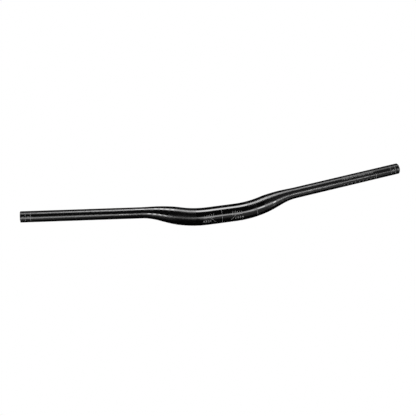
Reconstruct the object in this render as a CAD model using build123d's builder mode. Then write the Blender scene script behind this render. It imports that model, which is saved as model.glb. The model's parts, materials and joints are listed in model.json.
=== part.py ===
"""Riser handlebar: one aluminium tube, swaged to a taper, butted inside and bent twice on each side.

The origin is the middle of the clamp zone, on the tube's axis. +X runs along the bar, +Y points back towards
the rider and +Z points up. The two sides mirror each other about X = 0. Millimetres and degrees.
"""

import os
from math import radians, tan

from build123d import *

# What the bar is sold by: its width between the middles of the two end cuts, the height of the arms' inner ends
# above the clamp's axis, and how the straight arms point up and back
width = 780.0
rise = 22.5
upsweep = 5.0
backsweep = 8.0

# The tube's section: outside diameters are what the stem and the grips fit, and the walls are thickest in the middle
clamp_diameter = 35.0
clamp_wall = 2.3
grip_diameter = 22.2
grip_wall = 2.0

# The straight zone that the stem clamps, and the two bends with the slanted leg between them
clamp_length = 56.0
inner_bend_radius = 220.0
leg_upsweep = 15.1
leg_backsweep = 2.0
outer_bend_radius = 180.0

# The taper runs down the leg and round the outer bend, and ends this far along the straight arm
taper_run_out = 4.0
taper_sections = 13

# The cut ends are deburred outside and inside
end_chamfer = 0.6
bore_chamfer = 0.4


def direction(up, back):
    """Unit vector that leaves the clamp to the right, climbing and sweeping back by these angles."""
    return Vector(1, 0, 0).rotate(Axis.Y, -up).rotate(Axis.Z, back)


def station(distance):
    """Plane square to the bar's axis at a distance along it from the middle of the clamp zone."""
    along = axis.wire().tangent_at(distance, position_mode=PositionMode.LENGTH)
    return Plane(
        origin=axis.wire().position_at(distance, position_mode=PositionMode.LENGTH),
        x_dir=along.cross(Vector(0, 1, 0)),
        z_dir=along,
    )


def eased(share):
    """Share of the taper's change of size at a share of its length: it starts and ends level with the tube."""
    return share * share * (3 - 2 * share)


# The axis of the right side is a line with two rounded corners
across = Vector(1, 0, 0)
leg = direction(leg_upsweep, leg_backsweep)
arm = direction(upsweep, backsweep)
inner_setback = inner_bend_radius * tan(radians(across.get_angle(leg) / 2))
outer_setback = outer_bend_radius * tan(radians(leg.get_angle(arm) / 2))
inner_corner = across * (clamp_length / 2 + inner_setback)
outer_corner = inner_corner + leg * ((rise - arm.Z * outer_setback) / leg.Z)
bar_end = outer_corner + arm * ((width / 2 - outer_corner.X) / arm.X)

with BuildLine() as axis:
    FilletPolyline(
        (0, 0, 0),
        inner_corner,
        outer_corner,
        bar_end,
        radius=(inner_bend_radius, outer_bend_radius),
    )

clamp_run, inner_bend, leg_run, outer_bend, arm_run = axis.wire().order_edges()
taper_start = clamp_run.length + inner_bend.length
taper_length = leg_run.length + outer_bend.length + taper_run_out
grip_length = arm_run.length - taper_run_out

with BuildPart() as handlebar:
    # Inner bend, at the full section of the clamp zone
    with BuildSketch(station(clamp_run.length)):
        Circle(clamp_diameter / 2)
        Circle(clamp_diameter / 2 - clamp_wall, mode=Mode.SUBTRACT)
    sweep(path=inner_bend)

    # Taper along the leg and the outer bend, outside and inside together
    for step in range(taper_sections):
        share = step / (taper_sections - 1)
        diameter = clamp_diameter + (grip_diameter - clamp_diameter) * eased(share)
        wall = clamp_wall + (grip_wall - clamp_wall) * eased(share)
        with BuildSketch(station(taper_start + taper_length * share)):
            Circle(diameter / 2)
            Circle(diameter / 2 - wall, mode=Mode.SUBTRACT)
    loft()

    # Straight arm, with its end deburred
    with BuildSketch(station(taper_start + taper_length)):
        Circle(grip_diameter / 2)
        Circle(grip_diameter / 2 - grip_wall, mode=Mode.SUBTRACT)
    extrude(amount=grip_length)
    bore_rim, outer_rim = handlebar.faces().sort_by(Axis.X)[-1].edges().sort_by(SortBy.RADIUS)
    chamfer(outer_rim, length=end_chamfer)
    chamfer(bore_rim, length=bore_chamfer)

    # The left side mirrors the right one, and the clamp zone joins the two
    mirror(about=Plane.YZ)
    with BuildSketch(Plane.YZ):
        Circle(clamp_diameter / 2)
        Circle(clamp_diameter / 2 - clamp_wall, mode=Mode.SUBTRACT)
    extrude(amount=clamp_length / 2, both=True)

handlebar.part.label = "handlebar"
os.makedirs("parts", exist_ok=True)
export_step(handlebar.part, "parts/handlebar.step")

print(f"ends {bar_end.Z:.2f} mm up and {bar_end.Y:.2f} mm back, tube {2 * axis.wire().length:.1f} mm long")
print(f"straight leg {leg_run.length:.2f} mm, taper {taper_length:.2f} mm, grip {grip_length:.2f} mm")
print(f"{len(handlebar.part.solids())} solid, {handlebar.part.volume / 1000:.2f} cubic centimetres")
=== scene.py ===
# %% [markdown]
# # A riser handlebar
# A riser handlebar is one aluminium tube. Its middle is thick, because the stem clamps it there,
# and its ends are slim, because the grips slide over them. In between it tapers, and it is bent
# twice on each side, so that the hands sit higher than the stem and a little behind it.
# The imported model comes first. It fixes where the bar is and how large it is, in metres, and
# everything below is made in that frame: +X along the bar, +Y back towards the rider, +Z up.

# %% Load the frame
import json
from math import ceil, cos, degrees, pi, radians, sin, tan

import bmesh
import bpy
from mathutils import Matrix, Vector


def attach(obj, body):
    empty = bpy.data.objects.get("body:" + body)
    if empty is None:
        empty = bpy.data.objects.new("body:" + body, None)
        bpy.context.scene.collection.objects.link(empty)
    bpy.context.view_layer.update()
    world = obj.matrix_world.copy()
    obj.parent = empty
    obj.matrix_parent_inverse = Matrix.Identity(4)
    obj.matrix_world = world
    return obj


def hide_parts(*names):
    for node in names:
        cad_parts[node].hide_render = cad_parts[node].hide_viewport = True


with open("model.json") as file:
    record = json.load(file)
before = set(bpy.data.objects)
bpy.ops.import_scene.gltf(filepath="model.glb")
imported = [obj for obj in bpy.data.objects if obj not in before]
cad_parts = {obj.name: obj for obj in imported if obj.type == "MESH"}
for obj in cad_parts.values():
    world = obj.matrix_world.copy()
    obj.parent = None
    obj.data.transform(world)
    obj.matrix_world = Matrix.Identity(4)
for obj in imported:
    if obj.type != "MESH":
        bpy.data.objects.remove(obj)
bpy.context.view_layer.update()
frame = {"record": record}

# %% [markdown]
# ## The tube's sizes
# The record lists the places where other parts fasten to the bar: the stem, the grips and the
# plugs in its ends. Their numbers are the tube's own sizes. They could be typed in once more, but
# they are read, so that the picture can't drift away from the solid.

# %% Read the sizes
mounts = {mount["name"]: mount for mount in frame["record"]["mounts"]}


def mount_size(name, key):
    """One size of a mount, in metres."""
    return mounts[name]["dims"][key] / 1000


clamp_radius = mount_size("stem_clamp", "r_mm")
clamp_length = mount_size("stem_clamp", "length_mm")
grip_radius = mount_size("right_grip", "r_mm")
grip_length = mount_size("right_grip", "length_mm")
bore_radius = mount_size("right_end_bore", "r_mm")
grip_middle = Vector(mounts["right_grip"]["pos_m"])
arm_heading = Vector(mounts["right_grip"]["axis"]).normalized()
print("clamp zone", round(2 * clamp_radius, 4), "m thick, grips", round(2 * grip_radius, 4), "m")

# %% [markdown]
# Nothing fastens to the bends and the taper, so the record doesn't list them. Their numbers stand
# here as on a drawing: the wall in the middle, the chamfers of the cut ends, the radii of the two
# bends, the slope of the leg between them, the height at which the arm starts, and how far the
# taper runs out along the arm.

# %% Write down the bends and the taper
clamp_wall = 0.0023
end_chamfer = 0.0006
bore_chamfer = 0.0004
inner_bend_radius = 0.220
outer_bend_radius = 0.180
leg_upsweep = radians(15.1)
leg_backsweep = radians(2.0)
arm_start_height = 0.0225
taper_run_out = 0.004

bar_end = grip_middle + arm_heading * (grip_length / 2 + end_chamfer)
print("bar", round(2 * bar_end.x, 4), "m wide, ends", round(bar_end.z, 4), "m up")

# %% [markdown]
# ## The tube's axis
# A bar like this is drawn as a bent line: straight, bend, straight, bend, straight. The line
# could be a curve object with a round bevel, but a bevelled curve can't follow the taper exactly
# or carry a wall with a bore. So the axis is a list of runs, and a small function walks along
# them and says where it is and which way it heads. The left side is the mirror image of the
# right one.

# %% Lay out the runs
across = Vector((1, 0, 0))
leg_level = cos(leg_upsweep)
leg_heading = Vector(
    (leg_level * cos(leg_backsweep), leg_level * sin(leg_backsweep), sin(leg_upsweep))
)
inner_turn = across.angle(leg_heading)
outer_turn = leg_heading.angle(arm_heading)
inner_setback = inner_bend_radius * tan(inner_turn / 2)
outer_setback = outer_bend_radius * tan(outer_turn / 2)
corner_height = arm_start_height - arm_heading.z * outer_setback
leg_length = corner_height / leg_heading.z - inner_setback - outer_setback

# Each run has its length and, for a bend, its radius and the heading that it ends with. The arm
# is the last run. It gets more length than it needs, because the record says where it ends
spare_arm = 1.0
runs = [
    (clamp_length / 2, None, None),
    (inner_bend_radius * inner_turn, inner_bend_radius, leg_heading),
    (leg_length, None, None),
    (outer_bend_radius * outer_turn, outer_bend_radius, arm_heading),
    (spare_arm, None, None),
]
print("bends of", round(degrees(inner_turn), 1), "and", round(degrees(outer_turn), 1), "degrees")

# %% Walk along the runs


def axis_at(along):
    """Point on the axis and the heading there, this far from the middle: negative on the left."""
    point = Vector((0, 0, 0))
    heading = across.copy()
    to_walk = abs(along)
    for length, radius, new_heading in runs:
        step = min(to_walk, length)
        to_walk -= step
        if radius is None:
            point += heading * step
            continue
        pivot_axis = heading.cross(new_heading).normalized()
        inward = pivot_axis.cross(heading)
        turned = Matrix.Rotation(step / radius, 3, pivot_axis)
        point += (inward - turned @ inward) * radius
        heading = turned @ heading
    if along < 0:
        return Vector((-point.x, point.y, point.z)), Vector((heading.x, -heading.y, -heading.z))
    return point, heading


bends_length = sum(length for length, _, _ in runs[:-1])
arm_start = axis_at(bends_length)[0]
half_length = bends_length + (bar_end - arm_start).length
end_miss = (axis_at(half_length)[0] - bar_end).length
print("half of the tube", round(half_length, 4), "m, misses its end by", round(end_miss, 7), "m")

# %% [markdown]
# ## The tube's skin
# The outside and the bore get slimmer along the taper by the same smooth step, so that neither
# shows a crease where the taper starts or ends. Every point of the skin is then given by two
# numbers: how far along the bar it is, and how far round from straight ahead towards the top. The
# tube and everything printed on it use the same function.

# %% Say where the skin is
taper_start = runs[0][0] + runs[1][0]
taper_end = bends_length + taper_run_out
clamp_bore = clamp_radius - clamp_wall


def slimmed(along):
    """Share of the change from the clamp's size to the grip's at this distance from the middle."""
    share = min(max((abs(along) - taper_start) / (taper_end - taper_start), 0.0), 1.0)
    return share * share * (3 - 2 * share)


def outer_radius(along):
    """Radius of the outside at a distance along the bar."""
    return clamp_radius + (grip_radius - clamp_radius) * slimmed(along)


def inner_radius(along):
    """Radius of the bore at a distance along the bar."""
    return clamp_bore + (bore_radius - clamp_bore) * slimmed(along)


def round_the_axis(along, turn, radius):
    """Point at a radius round the axis: turn is in degrees, 0 straight ahead, 90 on top."""
    point, heading = axis_at(along)
    ahead = Vector((0, -1, 0))
    ahead = (ahead - heading * ahead.dot(heading)).normalized()
    upward = ahead.cross(heading)
    return point + (ahead * cos(radians(turn)) + upward * sin(radians(turn))) * radius


print("taper from", round(taper_start, 4), "to", round(taper_end, 4), "m along the bar")

# %% [markdown]
# ## The tube
# A tube could be two cylinders and a Boolean, but here the whole skin is one closed loop of
# rings: along the outside, round the right cut, back through the bore, and round the left cut.
# Every face is a quad, the rings can stand as close as the bends need, and the mesh is watertight
# by the way it is made. The points also remember whether they are on the rim of a cut, for the
# wear that comes later.

# %% List the rings
ring_points = 96
ring_spacing = 0.0025
bore_spacing = 0.005


def spaced(start, stop, spacing):
    """Distances from start to stop, both included, about this far apart."""
    steps = ceil(abs(stop - start) / spacing)
    return [start + (stop - start) * step / steps for step in range(steps + 1)]


outside_end = half_length - end_chamfer
bore_end = half_length - bore_chamfer
outside_places = spaced(-outside_end, outside_end, ring_spacing)
bore_places = spaced(bore_end, -bore_end, bore_spacing)
outside = [(along, outer_radius(along)) for along in outside_places]
bore = [(along, inner_radius(along)) for along in bore_places]
right_cut = [(half_length, grip_radius - end_chamfer), (half_length, bore_radius + bore_chamfer)]
left_cut = [(-along, radius) for along, radius in reversed(right_cut)]
rings = outside + right_cut + bore + left_cut
print(len(rings), "rings of", ring_points, "points")

# %% Make the points of the rings
tube_mesh = bpy.data.meshes.new("handlebar_tube")
tube = bpy.data.objects.new("handlebar_tube", tube_mesh)
bpy.context.collection.objects.link(tube)

shape = bmesh.new()
rim_layer = shape.verts.layers.float.new("rim")
ring_verts = []
for along, radius in rings:
    on_rim = abs(along) >= outside_end and radius > bore_radius + 2 * bore_chamfer
    ring = []
    for spot in range(ring_points):
        vert = shape.verts.new(round_the_axis(along, 360 * spot / ring_points, radius))
        vert[rim_layer] = float(on_rim)
        ring.append(vert)
    ring_verts.append(ring)
print(len(shape.verts), "points")

# %% [markdown]
# The rings are joined face by face. Edges are sharp at both ends of the outside, along the cuts
# and where the bore begins, and everything else is shaded smooth. The faces of the bore get the
# tube's second finish.

# %% Join the rings
rings_of_cut = len(right_cut) + 1
sharp_rings = {0, len(outside) - 1}
sharp_rings |= {len(outside) + number for number in range(rings_of_cut)}
sharp_rings |= {len(rings) - 1 - number for number in range(rings_of_cut)}
bore_numbers = range(len(outside) + len(right_cut) - 1, len(rings) - len(left_cut))

map_layer = shape.loops.layers.uv.new("OFBake")
for number, ring in enumerate(ring_verts):
    following = ring_verts[(number + 1) % len(ring_verts)]
    for spot in range(ring_points):
        beside = (spot + 1) % ring_points
        face = shape.faces.new((ring[spot], ring[beside], following[beside], following[spot]))
        face.smooth = True
        face.material_index = 1 if number in bore_numbers else 0
        if number in sharp_rings:
            shape.edges.get((ring[spot], ring[beside])).smooth = False

bmesh.ops.recalc_face_normals(shape, faces=shape.faces)
print(len(shape.faces), "faces, open edges:", sum(edge.is_boundary for edge in shape.edges))

# %% [markdown]
# ## A flat map of the skin
# Baking the finish into pictures needs the skin laid flat. The bar is long and thin,
# so one strip would waste most of a square picture. The map cuts it across into lengths, unrolls
# each, and stacks them like planks: first those of the outside, then those of the bore, which is
# hardly seen and gets half the height.

# %% Unroll the skin into planks
plank_lengths = 3
plank_gap = 0.004
plank_length = 2 * half_length / plank_lengths
outside_height = 2 * pi * clamp_radius
bore_height = outside_height / 2
outside_rows = plank_lengths * (outside_height + plank_gap)
map_side = outside_rows + plank_lengths * (bore_height + plank_gap)
place_of = {}
for number, ring in enumerate(ring_verts):
    for spot, vert in enumerate(ring):
        place_of[vert] = (number, spot)

for face in shape.faces:
    places = [place_of[loop.vert] for loop in face.loops]
    spots = [spot for _, spot in places]
    wraps = max(spots) - min(spots) > 1
    middle = sum(rings[number][0] for number, _ in places) / len(places)
    plank = min(int((middle + half_length) / plank_length), plank_lengths - 1)
    in_bore = face.material_index == 1
    height = bore_height if in_bore else outside_height
    base = plank * (height + plank_gap) + (outside_rows if in_bore else 0.0)
    for loop, (number, spot) in zip(face.loops, places):
        around = ring_points if wraps and spot == 0 else spot
        along_plank = rings[number][0] + half_length - plank * plank_length + plank_gap
        up_plank = base + around / ring_points * height + plank_gap
        loop[map_layer].uv = (along_plank / map_side, up_plank / map_side)
print("map", round(map_side * 1000), "mm square")

# %% [markdown]
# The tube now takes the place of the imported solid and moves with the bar's only body.

# %% Put the tube in its place
shape.to_mesh(tube_mesh)
shape.free()
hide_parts("handlebar")
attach(tube, "root")
print(tube.name, "has", len(tube_mesh.polygons), "faces")

# %% [markdown]
# ## Grain of a blasted surface
# Before it is coloured, the tube is blasted with fine beads, and the finish keeps that grain:
# tiny dents that make it satin, with broad patches that are a little smoother or duller. The
# dents could be modelled, but they are only about 0.15 mm across, so they are a bump and a change
# of roughness. All finishes share them, each with its own size and depth, and so the grain is a
# node group. Its sockets come first.

# %% Make the sockets of the grain group


def add_node(tree, kind, **settings):
    """Adds a node and sets its properties by name."""
    node = tree.nodes.new(kind)
    for name, value in settings.items():
        setattr(node, name, value)
    return node


def new_group(name, inputs, outputs):
    """A shader node group with number sockets, returned with its two end nodes."""
    group = bpy.data.node_groups.new(name, "ShaderNodeTree")
    sockets = group.interface
    for socket_name, value in inputs.items():
        socket = sockets.new_socket(socket_name, in_out="INPUT", socket_type="NodeSocketFloat")
        socket.default_value = value
    for socket_name in outputs:
        sockets.new_socket(socket_name, in_out="OUTPUT", socket_type="NodeSocketFloat")
    return group, add_node(group, "NodeGroupInput"), add_node(group, "NodeGroupOutput")


grain_group, grain_in, grain_out = new_group(
    "Blasted grain",
    {"Dent Size": 0.0003, "Patch Size": 0.03, "Roughness": 0.3, "Roughness Swing": 0.05},
    ("Height", "Roughness"),
)
print("group", grain_group.name, "has", len(grain_group.interface.items_tree), "sockets")

# %% [markdown]
# Inside the group, one fine noise gives the height of the dents, and one broad noise moves the
# roughness up and down about its value. A picture of real grain would do as well, but noise has
# no seams and fits every size.

# %% Fill the grain group


def noise_at(tree, size_socket, detail):
    """A noise in object space whose lumps are about as large as a socket's value, in metres."""
    place = add_node(tree, "ShaderNodeTexCoord")
    per_metre = add_node(tree, "ShaderNodeMath", operation="DIVIDE")
    per_metre.inputs[0].default_value = 1.0
    tree.links.new(size_socket, per_metre.inputs[1])
    noise = add_node(tree, "ShaderNodeTexNoise")
    noise.inputs["Detail"].default_value = detail
    tree.links.new(place.outputs["Object"], noise.inputs["Vector"])
    tree.links.new(per_metre.outputs[0], noise.inputs["Scale"])
    return noise.outputs["Fac"]


def around_value(tree, value_socket, swing_socket, noise_socket):
    """value + swing * (noise - 0.5), as nodes."""
    centred = add_node(tree, "ShaderNodeMath", operation="SUBTRACT")
    centred.inputs[1].default_value = 0.5
    tree.links.new(noise_socket, centred.inputs[0])
    swung = add_node(tree, "ShaderNodeMath", operation="MULTIPLY_ADD")
    tree.links.new(centred.outputs[0], swung.inputs[0])
    tree.links.new(swing_socket, swung.inputs[1])
    tree.links.new(value_socket, swung.inputs[2])
    return swung.outputs[0]


dents = noise_at(grain_group, grain_in.outputs["Dent Size"], detail=2.0)
patches = noise_at(grain_group, grain_in.outputs["Patch Size"], detail=4.0)
patchy = around_value(
    grain_group, grain_in.outputs["Roughness"], grain_in.outputs["Roughness Swing"], patches
)
grain_group.links.new(dents, grain_out.inputs["Height"])
grain_group.links.new(patchy, grain_out.inputs["Roughness"])
print("group", grain_group.name, "has", len(grain_group.nodes), "nodes")

# %% [markdown]
# ## Rubbed rims
# The coat wears first where the tube was cut, because grips and plugs are pushed over those rims.
# An edge could be found by its curvature, but the points already know whether they are on a rim.
# A noise breaks the rub up, so that the bare metal shows in specks.

# %% Make the rub group
worn_above = 0.58
rub_group, rub_in, rub_out = new_group(
    "Rubbed rim", {"Speck Size": 0.0008, "Amount": 0.5}, ("Rubbed",)
)
rim = add_node(rub_group, "ShaderNodeAttribute", attribute_name="rim")
specks = noise_at(rub_group, rub_in.outputs["Speck Size"], detail=3.0)
worn_through = add_node(rub_group, "ShaderNodeMath", operation="GREATER_THAN")
worn_through.inputs[1].default_value = worn_above
rub_group.links.new(specks, worn_through.inputs[0])
worn_rim = add_node(rub_group, "ShaderNodeMath", operation="MULTIPLY")
rub_group.links.new(worn_through.outputs[0], worn_rim.inputs[0])
rub_group.links.new(rim.outputs["Fac"], worn_rim.inputs[1])
rubbed = add_node(rub_group, "ShaderNodeMath", operation="MULTIPLY")
rub_group.links.new(worn_rim.outputs[0], rubbed.inputs[0])
rub_group.links.new(rub_in.outputs["Amount"], rubbed.inputs[1])
rub_group.links.new(rubbed.outputs[0], rub_out.inputs["Rubbed"])
print("group", rub_group.name, "has", len(rub_group.nodes), "nodes")

# %% [markdown]
# ## Finishes
# Five finishes cover the bar. The tube is satin black: an anodised film, which mirrors a little
# more than plastic does, so its IOR is higher. Each finish could be a material of its own making,
# but they differ only in colour, in IOR, in how rough they are and in the size and depth of the
# grain. So one function builds them all from those numbers.

# %% Make the satin coat
# A narrow filter keeps the true slope of the dents, which a wide one would flatten
dent_filter = 0.01


def place_group(tree, group, **values):
    """Puts a node group into a material with its own values: an underscore stands for a space."""
    node = add_node(tree, "ShaderNodeGroup", node_tree=group)
    for name, value in values.items():
        node.inputs[name.replace("_", " ")].default_value = value
    return node


def new_finish(name, colour, roughness, swing, dent_size, patch_size, bump, ior):
    """A coated or printed finish with the blasted grain in its bump and its roughness."""
    finish = bpy.data.materials.new(name)
    finish.use_nodes = True
    tree = finish.node_tree
    shader = tree.nodes["Principled BSDF"]
    shader.inputs["Base Color"].default_value = (*colour, 1.0)
    shader.inputs["IOR"].default_value = ior
    grain = place_group(tree, grain_group, Dent_Size=dent_size, Patch_Size=patch_size)
    grain.inputs["Roughness"].default_value = roughness
    grain.inputs["Roughness Swing"].default_value = swing
    tree.links.new(grain.outputs["Roughness"], shader.inputs["Roughness"])
    bump_node = add_node(tree, "ShaderNodeBump")
    bump_node.inputs["Strength"].default_value = 1.0
    bump_node.inputs["Distance"].default_value = bump
    bump_node.inputs["Filter Width"].default_value = dent_filter
    tree.links.new(grain.outputs["Height"], bump_node.inputs["Height"])
    tree.links.new(bump_node.outputs["Normal"], shader.inputs["Normal"])
    return finish


satin_black = new_finish(
    "satin_black",
    colour=(0.0012, 0.0012, 0.0013),
    roughness=0.20,
    swing=0.05,
    dent_size=0.00015,
    patch_size=0.03,
    bump=0.000018,
    ior=1.66,
)
print("finish", satin_black.name)

# %% [markdown]
# The bore has the same film, but it is a little paler and duller, with a coarser grain. The gloss
# ink is smooth and mirrors most of all, and the two grey inks are dull.

# %% Make the other finishes
bore_black = new_finish(
    "bore_black",
    colour=(0.015, 0.015, 0.016),
    roughness=0.45,
    swing=0.15,
    dent_size=0.0006,
    patch_size=0.01,
    bump=0.00001,
    ior=1.66,
)
gloss_black = new_finish(
    "gloss_black",
    colour=(0.0015, 0.0015, 0.0015),
    roughness=0.09,
    swing=0.03,
    dent_size=0.0012,
    patch_size=0.02,
    bump=0.000001,
    ior=1.8,
)
mark_grey = new_finish(
    "mark_grey",
    colour=(0.2, 0.2, 0.2),
    roughness=0.5,
    swing=0.2,
    dent_size=0.0004,
    patch_size=0.005,
    bump=0.000004,
    ior=1.55,
)
scale_grey = new_finish(
    "scale_grey",
    colour=(0.105, 0.105, 0.105),
    roughness=0.45,
    swing=0.2,
    dent_size=0.0004,
    patch_size=0.005,
    bump=0.000004,
    ior=1.55,
)
print("finishes", [ink.name for ink in (bore_black, gloss_black, mark_grey, scale_grey)])

# %% [markdown]
# The rubbed specks only belong on the satin coat. Where they are, the base colour and the metal
# value change from coat to bare aluminium.

# %% Rub the satin coat at its rims
bare_metal = (0.45, 0.45, 0.46, 1.0)
tree = satin_black.node_tree
shader = tree.nodes["Principled BSDF"]
rub = place_group(tree, rub_group, Speck_Size=0.0008, Amount=0.15)
coat_or_metal = add_node(tree, "ShaderNodeMix", data_type="RGBA")
coat_or_metal.inputs["A"].default_value = shader.inputs["Base Color"].default_value
coat_or_metal.inputs["B"].default_value = bare_metal
tree.links.new(rub.outputs["Rubbed"], coat_or_metal.inputs["Factor"])
tree.links.new(coat_or_metal.outputs["Result"], shader.inputs["Base Color"])
tree.links.new(rub.outputs["Rubbed"], shader.inputs["Metallic"])
tube_mesh.materials.append(satin_black)
tube_mesh.materials.append(bore_black)
print("tube finishes", [finish.name for finish in tube_mesh.materials])

# %% [markdown]
# ## Ink on a round tube
# The gloss zones and the grey marks are printed films. They could be masks in the tube's
# material, but then a fine line is only as sharp as the picture it is baked into. As thin pieces
# of their own they stay sharp. Each print is drawn flat, as patches between two distances along
# the bar and two turns round it, and the skin function wraps it. The first two patches go all
# round: the zone that the stem clamps, and a ring on one arm.

# %% Wrap the gloss zones
gloss_lift = 0.00003
longest_step = 0.002
widest_step = 3.0
all_round = (0, 360)
clamp_zone = (-0.054, 0.053)
arm_ring = (0.186, 0.192)


def add_patch(ink, start, stop, low, high, lean=0.0, lift=gloss_lift):
    """A wrapped patch between two distances and two turns, leaning along the bar."""
    columns = max(ceil(abs(stop - start) / longest_step), 1)
    rows = max(ceil((high - low) / widest_step), 1)
    grid = []
    for row in range(rows + 1):
        turn = low + (high - low) * row / rows
        shift = lean * (row / rows - 0.5)
        line = []
        for column in range(columns + 1):
            along = start + (stop - start) * column / columns + shift
            line.append(ink.verts.new(round_the_axis(along, turn, outer_radius(along) + lift)))
        grid.append(line)
    for below, above in zip(grid, grid[1:]):
        for column in range(columns):
            corners = (below[column], below[column + 1], above[column + 1], above[column])
            ink.faces.new(corners).smooth = True


gloss_ink = bmesh.new()
add_patch(gloss_ink, *clamp_zone, *all_round)
add_patch(gloss_ink, *arm_ring, *all_round)
print(len(gloss_ink.faces), "faces of gloss zones")

# %% [markdown]
# More gloss ink lies along the front: five slanted blocks on the right bend, and on the left bend
# a block, a row of dashes near the top and another along the front. The ink is as black as the
# coat. It could hardly be seen as a colour, and shows only where it mirrors a lamp more sharply
# than the satin beside it.

# %% Wrap the blocks and the dashes
block_lean = 0.006

# Start, stop, lowest and highest turn of each block on the right bend
right_blocks = [
    (0.0505, 0.0625, -30, 22),
    (0.0700, 0.0857, -35, 28),
    (0.1025, 0.1085, -50, 8),
    (0.1210, 0.1260, -60, -18),
    (0.1320, 0.1360, -60, -18),
]
for start, stop, low, high in right_blocks:
    add_patch(gloss_ink, start, stop, low, high, lean=block_lean)

left_block = (-0.173, -0.154)
top_band = (22, 60)
front_band = (-20, 8)
first_top_dash = -0.1045
first_front_dash = -0.1165
dash_pitch = 0.0105
dash_length = 0.006
dash_lean = 0.005
add_patch(gloss_ink, *left_block, *top_band, lean=0.008)
for dash in range(4):
    top_start = first_top_dash - dash_pitch * dash
    front_start = first_front_dash - dash_pitch * dash
    add_patch(gloss_ink, top_start, top_start + dash_length, *top_band, lean=dash_lean)
    add_patch(gloss_ink, front_start, front_start + dash_length, *front_band, lean=dash_lean)
print(len(gloss_ink.faces), "faces with the blocks and the dashes")

# %% [markdown]
# The arms have finer gloss prints: a hatch of thin lines where the left arm begins, and a row of
# short bars on the right arm. Then the ink is complete. A Solidify modifier gives the film its
# thickness, with its underside just inside the tube, so that no gap can show.

# %% Wrap the fine prints and finish the gloss ink
film_root = 0.00002
weld_distance = 0.000001
fine_lean = 0.003
first_hatch = -0.2035
hatch_pitch = 0.003
hatch_width = 0.001
hatch_band = (-30, 6)
first_bar = 0.2635
bar_pitch = 0.016
bar_length = 0.009
bar_band = (-24, 4)


def finish_print(name, ink, finish, lift=gloss_lift):
    """Turns the patches into a piece of the bar: a film with a thickness, in its finish."""
    bmesh.ops.remove_doubles(ink, verts=ink.verts, dist=weld_distance)
    for edge in ink.edges:
        edge.smooth = not edge.is_boundary
    mesh = bpy.data.meshes.new(name)
    ink.to_mesh(mesh)
    ink.free()
    mesh.materials.append(finish)
    piece = bpy.data.objects.new(name, mesh)
    bpy.context.collection.objects.link(piece)
    film = piece.modifiers.new("film", "SOLIDIFY")
    film.thickness = lift + film_root
    film.offset = -1.0
    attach(piece, "root")
    print(name, "has", len(mesh.polygons), "faces on top")


for line in range(8):
    hatch_start = first_hatch + hatch_pitch * line
    add_patch(gloss_ink, hatch_start, hatch_start + hatch_width, *hatch_band, lean=fine_lean)
for bar in range(5):
    bar_start = first_bar + bar_pitch * bar
    add_patch(gloss_ink, bar_start, bar_start + bar_length, *bar_band, lean=fine_lean)
finish_print("gloss_print", gloss_ink, gloss_black)

# %% [markdown]
# ## Grey marks
# The grey marks help whoever fits the bar. A line shows its middle, a little to one side as it is
# printed on the real one. Short scales beside it, each with a base line and a slanted pointer,
# show how far the bar is turned in the stem. Lines near the ends show where it may be cut
# shorter. They could be curves, but all of them are plain, so they are patches as well, and they
# stand a little higher than the gloss ink that they cross.

# %% Print the lines
grey_lift = 0.00008
line_width = 0.0008
fine_width = 0.0007
hair_width = 0.0005
middle_line = -0.002
first_tick = 0.0195
tick_pitch = 0.0045
tallest_tick = 15
tick_shortening = 2.0
pointer_place = 0.0205
pointer_lean = 0.009
base_line = (0.0175, 0.0395)
base_bottom = -10
base_top = -6
cut_lines = (0.0105, 0.0205)
grey_ink = bmesh.new()


def add_line(along, low, high, width=line_width, lean=0.0):
    """A thin line across the bar at a distance along it, between two turns."""
    add_patch(grey_ink, along - width / 2, along + width / 2, low, high, lean, grey_lift)


add_line(middle_line, low=-75, high=30, width=hair_width)
for side in (-1, 1):
    for tick in range(5):
        tick_place = side * (first_tick + tick_pitch * tick)
        tick_top = tallest_tick - tick_shortening * tick
        add_line(tick_place, low=base_top, high=tick_top, lean=0.0015)
    add_line(side * pointer_place, low=-45, high=-11, lean=side * pointer_lean)
    start, stop = sorted(side * end for end in base_line)
    add_patch(grey_ink, start, stop, low=base_bottom, high=base_top, lift=grey_lift)
    for cut_back in cut_lines:
        add_line(side * (half_length - cut_back), low=-42, high=45, width=fine_width)
print(len(grey_ink.faces), "faces of lines")

# %% [markdown]
# One more line lies between the first two blocks on the right bend. On the right arm a scale helps
# to place the levers: a row of ticks with a longer line at its end.

# %% Print the scale of the arm
bend_line = 0.0685
first_arm_tick = 0.2655
arm_tick_pitch = 0.0088
scale_end = 0.340
add_line(bend_line, low=-45, high=3, width=fine_width)
for tick in range(9):
    add_line(first_arm_tick + arm_tick_pitch * tick, low=-46, high=-30, lean=0.001)
add_line(scale_end, low=-46, high=4)
print(len(grey_ink.faces), "faces of lines with the scale")

# %% [markdown]
# Plain numbers go with the lines. A text object turns into a flat mesh, and its faces can be
# long. So it is first sliced into narrow ribs, a little like a paper that is folded into pleats
# before it is wrapped round a tube. After that each point is placed on the skin.

# %% Print the numbers
rib = 0.0004
ribs_each_way = 10
cut_numbers = ((0.0055, "10"), (0.0155, "20"))
first_number = 0.021


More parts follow.
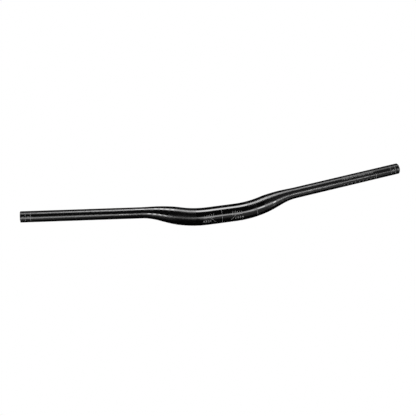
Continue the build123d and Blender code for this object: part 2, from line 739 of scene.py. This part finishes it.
def add_number(ink, digits, along, turn, height, boldness):
    """Wraps a plain number onto the bar, its middle at a distance along it and a turn round it."""
    figure = bpy.data.curves.new("number", "FONT")
    figure.body = digits
    figure.size = height
    figure.offset = boldness
    figure.align_x = "CENTER"
    figure.align_y = "CENTER"
    sign = bpy.data.objects.new("number", figure)
    flat = bpy.data.meshes.new_from_object(sign)
    bpy.data.objects.remove(sign)
    bpy.data.curves.remove(figure)
    pleats = bmesh.new()
    pleats.from_mesh(flat)
    bpy.data.meshes.remove(flat)
    for number in range(-ribs_each_way, ribs_each_way + 1):
        everything = pleats.verts[:] + pleats.edges[:] + pleats.faces[:]
        fold = (0, rib * number, 0)
        bmesh.ops.bisect_plane(pleats, geom=everything, plane_co=fold, plane_no=(0, 1, 0))
    copies = {}
    for vert in pleats.verts:
        spot = along + vert.co.x
        radius = outer_radius(spot)
        angle = turn + vert.co.y / radius * 180 / pi
        copies[vert] = ink.verts.new(round_the_axis(spot, angle, radius + grey_lift))
    for face in pleats.faces:
        ink.faces.new([copies[vert] for vert in face.verts]).smooth = True
    pleats.free()


for side in (-1, 1):
    for cut_back, digits in cut_numbers:
        end_place = side * (half_length - cut_back)
        add_number(grey_ink, digits, end_place, turn=-6, height=0.005, boldness=0.00005)
    for number in range(1, 5):
        scale_place = side * (first_number + tick_pitch * number)
        add_number(grey_ink, str(number), scale_place, turn=-34, height=0.0062, boldness=0.0002)
finish_print("grey_print", grey_ink, mark_grey, grey_lift)

# %% [markdown]
# The numbers of the scale on the arm are printed in a darker grey, so they are a piece of their
# own.

# %% Print the numbers of the scale
number_start = 0.2565
number_pitch = 0.0093
scale_ink = bmesh.new()
for number in range(1, 9):
    arm_place = number_start + number_pitch * number
    add_number(scale_ink, str(10 * number), arm_place, turn=33, height=0.0082, boldness=0.0002)
finish_print("scale_print", scale_ink, scale_grey, grey_lift)

# %% [markdown]
# ## Floor
# The bar hangs at the height where it is ridden, about a metre above a pale floor. A floor that
# is lit until it is white would need lamps that are too strong for the bar. So to the camera and
# in mirrors the floor is partly white by itself, and wholly white farther off, where it runs into
# the background without an edge. Near the bar it still takes the lamps' light and the bar's
# shadow, and to light that bounces it is an ordinary pale surface.

# %% Lay the floor
floor_height = -1.0
half_floor = 30.0
floor_grey = 0.8


def new_sheet(name, corners):
    """A stage piece of flat panels from pairs of corners, one pair at each fold."""
    mesh = bpy.data.meshes.new(name)
    folds = range(0, len(corners) - 2, 2)
    panels = [(first, first + 1, first + 3, first + 2) for first in folds]
    mesh.from_pydata([Vector(corner) for corner in corners], [], panels)
    sheet = bpy.data.objects.new(name, mesh)
    bpy.context.collection.objects.link(sheet)
    return sheet


floor_ends = (-half_floor, half_floor)
floor = new_sheet("floor", [(x, y, floor_height) for y in floor_ends for x in floor_ends])
pale_floor = bpy.data.materials.new("pale_floor")
pale_floor.use_nodes = True
near_floor = pale_floor.node_tree.nodes["Principled BSDF"]
near_floor.inputs["Base Color"].default_value = (floor_grey, floor_grey, floor_grey, 1.0)
near_floor.inputs["Roughness"].default_value = 0.9
near_floor.inputs["Specular IOR Level"].default_value = 0.0
floor.data.materials.append(pale_floor)
print("floor", -floor_height, "m below the clamp")

# %% Fade the floor to white
fade_middle = (0, -0.5, floor_height)
fade_start = 1.3
fade_end = 2.2
near_white = 0.65


def straight_rays(tree):
    """Socket that is 1 for camera, glossy and transmission rays and 0 for the rest."""
    path = add_node(tree, "ShaderNodeLightPath")
    first = add_node(tree, "ShaderNodeMath", operation="ADD")
    tree.links.new(path.outputs["Is Camera Ray"], first.inputs[0])
    tree.links.new(path.outputs["Is Glossy Ray"], first.inputs[1])
    both = add_node(tree, "ShaderNodeMath", operation="ADD", use_clamp=True)
    tree.links.new(first.outputs[0], both.inputs[0])
    tree.links.new(path.outputs["Is Transmission Ray"], both.inputs[1])
    return both.outputs[0]


tree = pale_floor.node_tree
far_floor = add_node(tree, "ShaderNodeEmission")
place = add_node(tree, "ShaderNodeTexCoord")
away = add_node(tree, "ShaderNodeVectorMath", operation="DISTANCE")
away.inputs[1].default_value = fade_middle
tree.links.new(place.outputs["Object"], away.inputs[0])
fade = add_node(tree, "ShaderNodeMapRange", interpolation_type="SMOOTHSTEP")
fade.inputs["From Min"].default_value = fade_start
fade.inputs["From Max"].default_value = fade_end
fade.inputs["To Min"].default_value = near_white
tree.links.new(away.outputs["Value"], fade.inputs["Value"])
white_share = add_node(tree, "ShaderNodeMath", operation="MULTIPLY")
tree.links.new(fade.outputs["Result"], white_share.inputs[0])
tree.links.new(straight_rays(tree), white_share.inputs[1])
floor_mix = add_node(tree, "ShaderNodeMixShader")
tree.links.new(white_share.outputs[0], floor_mix.inputs["Fac"])
tree.links.new(near_floor.outputs["BSDF"], floor_mix.inputs[1])
tree.links.new(far_floor.outputs["Emission"], floor_mix.inputs[2])
tree.links.new(floor_mix.outputs["Shader"], tree.nodes["Material Output"].inputs["Surface"])
print("floor wholly white from", fade_end, "m")

# %% [markdown]
# ## Background
# Behind everything the picture is white. A white wall would do, but it would have to be lit
# evenly. So the world is white at strength 1 to the camera and in mirrors, and gives the bar only
# a little light of its own.

# %% Make the background
fill_light = 0.3
world = bpy.data.worlds.new("white_background")
bpy.context.scene.world = world
world.use_nodes = True
tree = world.node_tree
background = tree.nodes["Background"]
background.inputs["Color"].default_value = (1.0, 1.0, 1.0, 1.0)
strength = add_node(tree, "ShaderNodeMapRange")
strength.inputs["To Min"].default_value = fill_light
tree.links.new(straight_rays(tree), strength.inputs["Value"])
tree.links.new(strength.outputs["Result"], background.inputs["Strength"])
print("background", world.name)

# %% [markdown]
# ## Cloths
# A black tube shows little else than what it mirrors. So a photographer hangs black curtains
# before and behind it, which keep the skin dark between the lamps. Real curtains would also shade
# the floor and stand in the picture. Here only mirrored rays see them, and the camera and the
# lamps look through. The back curtain is folded, so that it covers the floor under the bar too.

# %% Hang the curtains
half_curtain = 2.5
curtain_front = -0.95
front_folds = [(curtain_front, -0.10), (curtain_front, 1.90)]
back_folds = [(-0.30, -0.98), (0.40, -0.98), (0.40, 3.00)]


def new_cloth(name, grey):
    """A dull cloth of one grey."""
    cloth = bpy.data.materials.new(name)
    cloth.use_nodes = True
    shader = cloth.node_tree.nodes["Principled BSDF"]
    shader.inputs["Base Color"].default_value = (grey, grey, grey, 1.0)
    shader.inputs["Roughness"].default_value = 1.0
    shader.inputs["Specular IOR Level"].default_value = 0.0
    return cloth


def hang_cloth(name, cloth, corners):
    """A cloth through pairs of corners that only mirrored rays see."""
    sheet = new_sheet(name, corners)
    sheet.data.materials.append(cloth)
    sheet.visible_camera = False
    sheet.visible_diffuse = False
    sheet.visible_shadow = False


def hang_curtain(name, left, right, folds):
    """A black curtain between two distances along the bar: each fold has its y and its height."""
    hang_cloth(name, black_cloth, [(x, y, z) for y, z in folds for x in (left, right)])


black_cloth = new_cloth("black_cloth", 0.004)
hang_curtain("front_curtain", -half_curtain, half_curtain, front_folds)
hang_curtain("back_curtain", -half_curtain, half_curtain, back_folds)

# %% [markdown]
# The underside of the bar mirrors the floor in front. A pale mat there gives it a faint glow, and
# grey and black mats hold the glow back where the bar should stay dark. The mats could be one
# painted sheet, but separate ones are moved more easily. A short curtain stands on them, below
# the front one.

# %% Lay the mats
pale_height = -0.99
grey_height = -0.98
black_height = -0.97
low_folds = [(curtain_front, -0.96), (curtain_front, -0.09)]


def lay_mat(name, cloth, height, near_edge, far_edge):
    """A mat over the floor: each edge has its left end, its right end and its y."""
    edges = (near_edge, far_edge)
    corners = [(x, y, height) for left, right, y in edges for x in (left, right)]
    hang_cloth(name, cloth, corners)


grey_cloth = new_cloth("grey_cloth", 0.25)
pale_cloth = new_cloth("pale_cloth", 0.8)
lay_mat(
    "pale_mat",
    pale_cloth,
    pale_height,
    near_edge=(-3.0, 3.0, -0.28),
    far_edge=(-3.0, 3.0, -3.0),
)
lay_mat(
    "grey_mat",
    grey_cloth,
    grey_height,
    near_edge=(0.20, 0.84, -0.29),
    far_edge=(0.20, 0.84, -1.10),
)
lay_mat(
    "left_mat",
    grey_cloth,
    grey_height,
    near_edge=(-0.60, -0.40, -0.29),
    far_edge=(-0.60, -0.40, -1.10),
)
lay_mat(
    "right_mat",
    grey_cloth,
    grey_height,
    near_edge=(1.18, 3.0, -0.29),
    far_edge=(1.18, 3.0, -1.40),
)
lay_mat(
    "black_mat",
    black_cloth,
    black_height,
    near_edge=(-0.41, 0.30, -0.30),
    far_edge=(-0.41, 0.06, -1.60),
)
hang_curtain("low_curtain", -0.36, 0.08, low_folds)

# %% [markdown]
# ## Soft boxes overhead
# Small lamps would only draw dots on the bar, and long soft boxes draw lines. Each box is hung
# where the bar mirrors it. A photographer dims parts of a box with cloth, so that its line fades
# along the bar, and here a colour ramp does that: its stops give the share of the brightness that
# is left at distances along X. Two boxes in a row hang overhead, a little in front, and draw the
# upper line.

# %% Hang the overhead boxes


def dim_along(lamp, stops):
    """Leaves a share of a lamp's brightness at each stop, and fades smoothly in between."""
    first = stops[0][0]
    last = stops[-1][0]
    lamp.use_nodes = True
    tree = lamp.node_tree
    spot = add_node(tree, "ShaderNodeNewGeometry")
    parts = add_node(tree, "ShaderNodeSeparateXYZ")
    tree.links.new(spot.outputs["Position"], parts.inputs["Vector"])
    share = add_node(tree, "ShaderNodeMapRange")
    share.inputs["From Min"].default_value = first
    share.inputs["From Max"].default_value = last
    tree.links.new(parts.outputs["X"], share.inputs["Value"])
    ramp = add_node(tree, "ShaderNodeValToRGB")
    ramp.color_ramp.interpolation = "CARDINAL"
    for number, (distance, level) in enumerate(stops):
        if number == 0:
            stop = ramp.color_ramp.elements[0]
        elif number == len(stops) - 1:
            stop = ramp.color_ramp.elements[-1]
        else:
            stop = ramp.color_ramp.elements.new((distance - first) / (last - first))
        stop.color = (level, level, level, 1.0)
    tree.links.new(share.outputs["Result"], ramp.inputs["Fac"])
    tree.links.new(ramp.outputs["Color"], tree.nodes["Emission"].inputs["Strength"])


def hang_lamp(name, place, size, brightness, facing, long_side=(1, 0, 0), stops=()):
    """A soft box that shines one way. Its stops, if it has any, dim it along the bar."""
    lamp = bpy.data.lights.new(name, "AREA")
    lamp.shape = "RECTANGLE"
    lamp.size, lamp.size_y = size
    lamp.energy = brightness * pi * size[0] * size[1]
    box = bpy.data.objects.new(name, lamp)
    bpy.context.collection.objects.link(box)
    box.location = place
    box.rotation_mode = "QUATERNION"
    forward = Vector(facing).normalized()
    sideways = Vector(long_side)
    sideways = (sideways - forward * sideways.dot(forward)).normalized()
    axes = Matrix((sideways, (-forward).cross(sideways), -forward))
    box.rotation_quaternion = axes.transposed().to_quaternion()
    box.visible_camera = False
    if stops:
        dim_along(lamp, stops)


hang_lamp(
    "overhead_left",
    place=(-0.725, -0.400, 1.0),
    size=(1.15, 0.25),
    brightness=13.2,
    facing=(0, 0.30, -1.0),
    long_side=(1, 0.30, 0),
    stops=[(-1.3, 0.0), (-0.6, 0.1), (-0.44, 0.21), (-0.3, 0.55), (-0.2, 1.0), (-0.15, 1.0)],
)
overhead_stops = [
    (-0.15, 0.88), (0.0, 1.0), (0.1, 0.94), (0.3, 0.66), (0.5, 0.38), (0.65, 0.3),
    (0.75, 0.075), (0.9, 0.03), (1.2, 0.02),
]
hang_lamp(
    "overhead_box",
    place=(0.525, -0.157, 1.0),
    size=(1.35, 0.39),
    brightness=7.9,
    facing=(0, 0.135, -1.0),
    long_side=(1, 0.084, 0),
    stops=overhead_stops,
)

# %% [markdown]
# ## Soft boxes in front
# Four strips stand low in front, end to end before the front curtain, and draw the lower line. One
# long box would be simpler, but each stretch of the bent bar mirrors another part of the room, so
# the strips differ in height and brightness. A bright part of the right strip makes the bright
# spot on the right bend, and under it a dim skirt lets the line fade out downwards.

# %% Hang the low strips
hang_lamp(
    "low_left_strip",
    place=(-0.88, -0.93, -0.385),
    size=(0.84, 0.38),
    brightness=4.1,
    facing=(0, 0.93, 0.33),
    long_side=(1, 0, -0.12),
    stops=[(-1.3, 1.0), (-0.64, 1.0), (-0.58, 0.84), (-0.5, 0.78), (-0.46, 0.93)],
)
hang_lamp(
    "low_end_strip",
    place=(-0.395, -0.93, -0.265),
    size=(0.13, 0.34),
    brightness=7.0,
    facing=(0, 0.93, 0.3),
    stops=[(-0.46, 0.73), (-0.42, 1.0), (-0.36, 1.0), (-0.33, 0.55)],
)
hang_lamp(
    "low_middle_strip",
    place=(-0.135, -0.93, -0.27),
    size=(0.39, 0.26),
    brightness=3.9,
    facing=(0, 0.93, 0.2),
    stops=[(-0.33, 0.85), (-0.27, 0.65), (-0.2, 0.4), (-0.05, 0.33), (0.06, 0.25)],
)
right_stops = [
    (0.06, 0.01), (0.13, 0.19), (0.25, 0.16), (0.36, 0.35), (0.48, 0.57), (0.6, 0.26),
    (0.68, 0.29), (0.72, 1.0), (0.757, 1.0), (0.785, 0.25), (0.86, 0.165), (0.93, 0.11),
    (0.985, 0.245), (1.08, 0.01), (1.3, 0.02),
]
hang_lamp(
    "low_right_strip",
    place=(0.68, -0.93, -0.13),
    size=(1.24, 0.40),
    brightness=13.4,
    facing=(0, 0.93, 0.2),
    stops=right_stops,
)
hang_lamp(
    "low_right_skirt",
    place=(0.93, -0.93, -0.53),
    size=(0.54, 0.40),
    brightness=0.85,
    facing=(0, 0.93, 0.4),
    stops=[(0.66, 0.0), (0.76, 0.8), (0.9, 1.0), (1.05, 0.22), (1.2, 0.05)],
)
print("lamps so far", len(bpy.data.lights))

# %% [markdown]
# ## Lamps that fill in
# Three weaker lamps finish the light. A dim panel lifts the dark band between the two lines on
# the right arm, a strip behind the bar draws a thin line along its edge, and a lamp near the
# floor brightens what the underside of the right arm mirrors.

# %% Hang the weak lamps
hang_lamp(
    "dim_panel",
    place=(0.95, -0.94, 0.55),
    size=(1.1, 0.9),
    brightness=0.13,
    facing=(0, 1, 0),
    stops=[(0.3, 0.2), (0.5, 1.0), (1.5, 1.0)],
)
hang_lamp(
    "back_strip",
    place=(0, 0.38, -0.08),
    size=(1.7, 0.14),
    brightness=1.95,
    facing=(0, -1, 0),
)
hang_lamp(
    "floor_lamp",
    place=(1.05, -0.35, -0.5),
    size=(0.7, 0.3),
    brightness=2.3,
    facing=(0, -0.5, -0.6),
)
print("lamps in all", len(bpy.data.lights))

# %% [markdown]
# ## Camera
# The photograph is taken from a little above, from the left of the middle and with the camera
# tipped, so that the bar climbs to the right. The camera stands about 2.2 metres away with a long
# lens. A constraint could aim it, but would keep it level. So its axes are written out one by one:
# what is right, what is up, and where it looks. The numbers come from fitting the bar's outline.

# %% Place the camera
camera_distance = 2.2164
camera_elevation = radians(3.649)
camera_yaw = radians(10.829)
camera_roll = radians(6.769)
camera_aim = Vector((-0.02435, 0.00565, 0.01536))
camera_lens = 96.68
sensor_width = 36.0

level_look = cos(camera_elevation)
looking = Vector(
    (sin(camera_yaw) * level_look, cos(camera_yaw) * level_look, -sin(camera_elevation))
)
level_right = Vector((cos(camera_yaw), -sin(camera_yaw), 0))
level_up = level_right.cross(looking)
camera_right = level_right * cos(camera_roll) - level_up * sin(camera_roll)
camera_up = level_right * sin(camera_roll) + level_up * cos(camera_roll)
camera_axes = Matrix((camera_right, camera_up, -looking))

camera_data = bpy.data.cameras.new("camera")
camera_data.sensor_width = sensor_width
camera_data.lens = camera_lens
camera = bpy.data.objects.new("camera", camera_data)
bpy.context.collection.objects.link(camera)
camera.location = camera_aim - looking * camera_distance
camera.rotation_mode = "QUATERNION"
camera.rotation_quaternion = camera_axes.transposed().to_quaternion()
bpy.context.scene.camera = camera
bpy.context.scene.view_settings.view_transform = "Standard"
print("camera at", [round(value, 3) for value in camera.location])

# %% Update the scene
bpy.context.view_layer.update()
